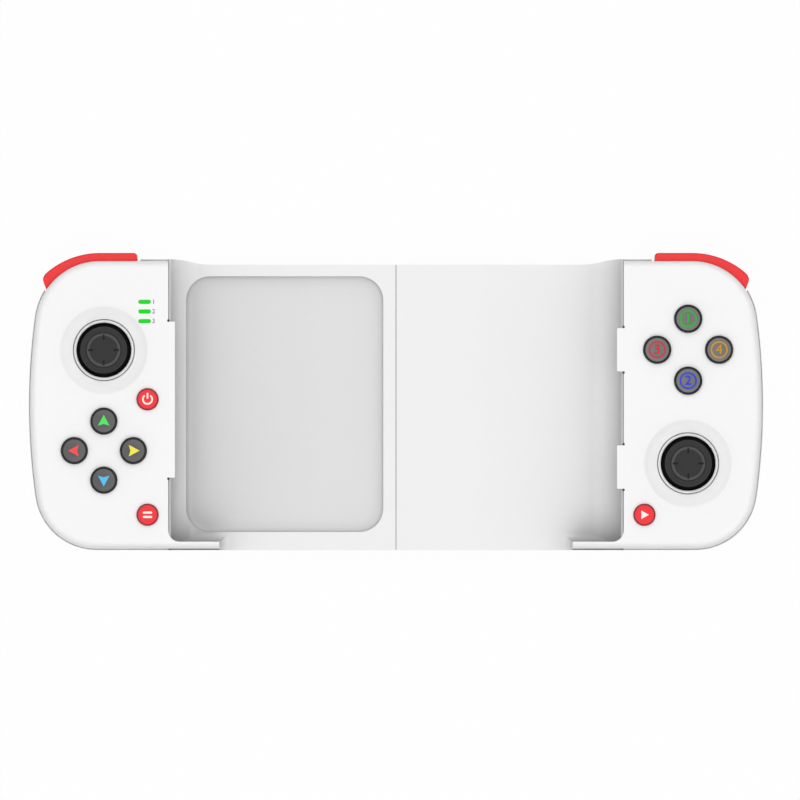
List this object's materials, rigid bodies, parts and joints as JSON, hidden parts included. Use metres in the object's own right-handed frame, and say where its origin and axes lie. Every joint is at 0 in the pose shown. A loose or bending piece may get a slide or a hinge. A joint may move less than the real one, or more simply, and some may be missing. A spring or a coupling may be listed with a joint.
{
  "type": "mobile game controller",
  "caption": "Telescopic handheld gamepad whose grips slide apart on a sprung bridge to hold a phone between them, with thumbsticks, direction and face buttons, bumpers and triggers.",
  "frame": {"origin": "centre of the bounding box in plan, on the flat backs of the grips", "axes": "+X to the player's right along the width, +Y towards the shoulder buttons, +Z out of the button face"},
  "size_m": [0.202, 0.0816, 0.0292],
  "materials": {
    "shell": "satin white",
    "tray": "satin white",
    "trim": "satin white",
    "board": "solder mask",
    "silicone": "matt",
    "black_plastic": "matt",
    "sleeve": "satin grey",
    "lens": "clear green",
    "ribbon": "polyimide film",
    "battery": "pouch foil",
    "steel": "bright",
    "red_key": "gloss red",
    "dark_key": "smoky dark grey",
    "grey_key": "smoky grey",
    "stick_rubber": "black",
    "gimbal": "bearing plastic"
  },
  "bodies": {
    "left_half": {"left_front_shell": "shell", "left_back_shell": "shell", "left_bay_tray": "tray", "bridge_sleeve": "sleeve", "left_main_board": "board", "left_keypad": "silicone", "indicator_lenses": "lens", "left_stick_ring": "trim", "left_stick_housing": "black_plastic", "left_screws": "steel", "left_shoulder_switches": "black_plastic", "left_trigger_pin": "steel", "left_bumper_pin": "steel", "left_trigger_spring": "steel", "tension_springs": "steel", "ribbon_cable": "ribbon"},
    "right_half": {"right_front_shell": "shell", "right_back_shell": "shell", "right_bay_tray": "tray", "slide_rails": "black_plastic", "right_main_board": "board", "right_keypad": "silicone", "right_stick_ring": "trim", "right_stick_housing": "black_plastic", "right_screws": "steel", "right_shoulder_switches": "black_plastic", "right_trigger_pin": "steel", "right_bumper_pin": "steel", "right_trigger_spring": "steel", "battery": "battery", "charging_socket": "steel"},
    "dpad_up": {"dpad_up": "dark_key"},
    "dpad_down": {"dpad_down": "dark_key"},
    "dpad_left": {"dpad_left": "dark_key"},
    "dpad_right": {"dpad_right": "dark_key"},
    "power_button": {"power_button": "red_key"},
    "select_button": {"select_button": "red_key"},
    "face_top": {"face_top": "grey_key"},
    "face_bottom": {"face_bottom": "grey_key"},
    "face_left": {"face_left": "grey_key"},
    "face_right": {"face_right": "grey_key"},
    "start_button": {"start_button": "red_key"},
    "left_bumper": {"left_bumper": "red_key"},
    "left_trigger": {"left_trigger": "red_key"},
    "left_stick_cradle": {"left_stick_cradle": "gimbal"},
    "left_stick_lever": {"left_stick_lever": "gimbal"},
    "left_stick_arch": {"left_stick_arch": "gimbal"},
    "left_stick_cap": {"left_stick_cap": "stick_rubber"},
    "right_bumper": {"right_bumper": "red_key"},
    "right_trigger": {"right_trigger": "red_key"},
    "right_stick_cradle": {"right_stick_cradle": "gimbal"},
    "right_stick_lever": {"right_stick_lever": "gimbal"},
    "right_stick_arch": {"right_stick_arch": "gimbal"},
    "right_stick_cap": {"right_stick_cap": "stick_rubber"}
  },
  "joints": [
    {"name": "stretch", "type": "slide", "parent": "left_half", "child": "right_half", "axis": [1, 0, 0], "range_m": [0, 0.046], "stiffness_N_per_m": 60, "springref_m": -0.03, "deforming": ["tension_springs", "ribbon_cable"]},
    {"name": "dpad_up_press", "type": "slide", "parent": "left_half", "child": "dpad_up", "axis": [0, 0, -1], "range_m": [0, 0.001], "stiffness_N_per_m": 600, "springref_m": -0.0005, "deforming": ["left_keypad"]},
    {"name": "dpad_down_press", "type": "slide", "parent": "left_half", "child": "dpad_down", "axis": [0, 0, -1], "range_m": [0, 0.001], "stiffness_N_per_m": 600, "springref_m": -0.0005},
    {"name": "dpad_left_press", "type": "slide", "parent": "left_half", "child": "dpad_left", "axis": [0, 0, -1], "range_m": [0, 0.001], "stiffness_N_per_m": 600, "springref_m": -0.0005},
    {"name": "dpad_right_press", "type": "slide", "parent": "left_half", "child": "dpad_right", "axis": [0, 0, -1], "range_m": [0, 0.001], "stiffness_N_per_m": 600, "springref_m": -0.0005},
    {"name": "power_button_press", "type": "slide", "parent": "left_half", "child": "power_button", "axis": [0, 0, -1], "range_m": [0, 0.0006], "stiffness_N_per_m": 600, "springref_m": -0.0005},
    {"name": "select_button_press", "type": "slide", "parent": "left_half", "child": "select_button", "axis": [0, 0, -1], "range_m": [0, 0.0006], "stiffness_N_per_m": 600, "springref_m": -0.0005},
    {"name": "face_top_press", "type": "slide", "parent": "right_half", "child": "face_top", "axis": [0, 0, -1], "range_m": [0, 0.001], "stiffness_N_per_m": 600, "springref_m": -0.0005, "deforming": ["right_keypad"]},
    {"name": "face_bottom_press", "type": "slide", "parent": "right_half", "child": "face_bottom", "axis": [0, 0, -1], "range_m": [0, 0.001], "stiffness_N_per_m": 600, "springref_m": -0.0005},
    {"name": "face_left_press", "type": "slide", "parent": "right_half", "child": "face_left", "axis": [0, 0, -1], "range_m": [0, 0.001], "stiffness_N_per_m": 600, "springref_m": -0.0005},
    {"name": "face_right_press", "type": "slide", "parent": "right_half", "child": "face_right", "axis": [0, 0, -1], "range_m": [0, 0.001], "stiffness_N_per_m": 600, "springref_m": -0.0005},
    {"name": "start_button_press", "type": "slide", "parent": "right_half", "child": "start_button", "axis": [0, 0, -1], "range_m": [0, 0.0006], "stiffness_N_per_m": 600, "springref_m": -0.0005},
    {"name": "left_bumper_press", "type": "hinge", "parent": "left_half", "child": "left_bumper", "pos_m": [-0.0733, 0.03415, 0.0166], "axis": [0, 0, 1], "range_deg": [0, 2.5], "stiffness_Nm_per_rad": 1, "springref_deg": -1.15},
    {"name": "left_trigger_pull", "type": "hinge", "parent": "left_half", "child": "left_trigger", "pos_m": [-0.0766, 0.03515, 0.0102], "axis": [-1, 0, 0], "range_deg": [0, 7], "stiffness_Nm_per_rad": 0.5, "springref_deg": -2.86, "deforming": ["left_trigger_spring"]},
    {"name": "left_stick_up_down", "type": "hinge", "parent": "left_half", "child": "left_stick_cradle", "pos_m": [-0.0802, 0.01415, 0.014], "axis": [1, 0, 0], "range_deg": [-15, 15], "stiffness_Nm_per_rad": 0.02},
    {"name": "left_stick_left_right", "type": "hinge", "parent": "left_stick_cradle", "child": "left_stick_lever", "pos_m": [-0.0802, 0.01415, 0.014], "axis": [0, 1, 0], "range_deg": [-15, 15], "stiffness_Nm_per_rad": 0.02},
    {"name": "left_stick_arch_turn", "type": "hinge", "parent": "left_half", "child": "left_stick_arch", "pos_m": [-0.0802, 0.01415, 0.014], "axis": [0, 1, 0], "range_deg": [-16, 16]},
    {"name": "left_stick_click", "type": "slide", "parent": "left_stick_lever", "child": "left_stick_cap", "axis": [0, 0, -1], "range_m": [0, 0.0005], "stiffness_N_per_m": 2000, "springref_m": -0.0005},
    {"name": "right_bumper_press", "type": "hinge", "parent": "right_half", "child": "right_bumper", "pos_m": [0.0733, 0.03415, 0.0166], "axis": [0, 0, -1], "range_deg": [0, 2.5], "stiffness_Nm_per_rad": 1, "springref_deg": -1.15},
    {"name": "right_trigger_pull", "type": "hinge", "parent": "right_half", "child": "right_trigger", "pos_m": [0.0766, 0.03515, 0.0102], "axis": [-1, 0, 0], "range_deg": [0, 7], "stiffness_Nm_per_rad": 0.5, "springref_deg": -2.86, "deforming": ["right_trigger_spring"]},
    {"name": "right_stick_up_down", "type": "hinge", "parent": "right_half", "child": "right_stick_cradle", "pos_m": [0.0802, -0.01695, 0.014], "axis": [1, 0, 0], "range_deg": [-15, 15], "stiffness_Nm_per_rad": 0.02},
    {"name": "right_stick_left_right", "type": "hinge", "parent": "right_stick_cradle", "child": "right_stick_lever", "pos_m": [0.0802, -0.01695, 0.014], "axis": [0, 1, 0], "range_deg": [-15, 15], "stiffness_Nm_per_rad": 0.02},
    {"name": "right_stick_arch_turn", "type": "hinge", "parent": "right_half", "child": "right_stick_arch", "pos_m": [0.0802, -0.01695, 0.014], "axis": [0, 1, 0], "range_deg": [-16, 16]},
    {"name": "right_stick_click", "type": "slide", "parent": "right_stick_lever", "child": "right_stick_cap", "axis": [0, 0, -1], "range_m": [0, 0.0005], "stiffness_N_per_m": 2000, "springref_m": -0.0005}
  ],
  "couplings": [
    {"joint": "left_stick_arch_turn", "follows": "left_stick_left_right", "ratio": 1},
    {"joint": "right_stick_arch_turn", "follows": "right_stick_left_right", "ratio": 1}
  ]
}
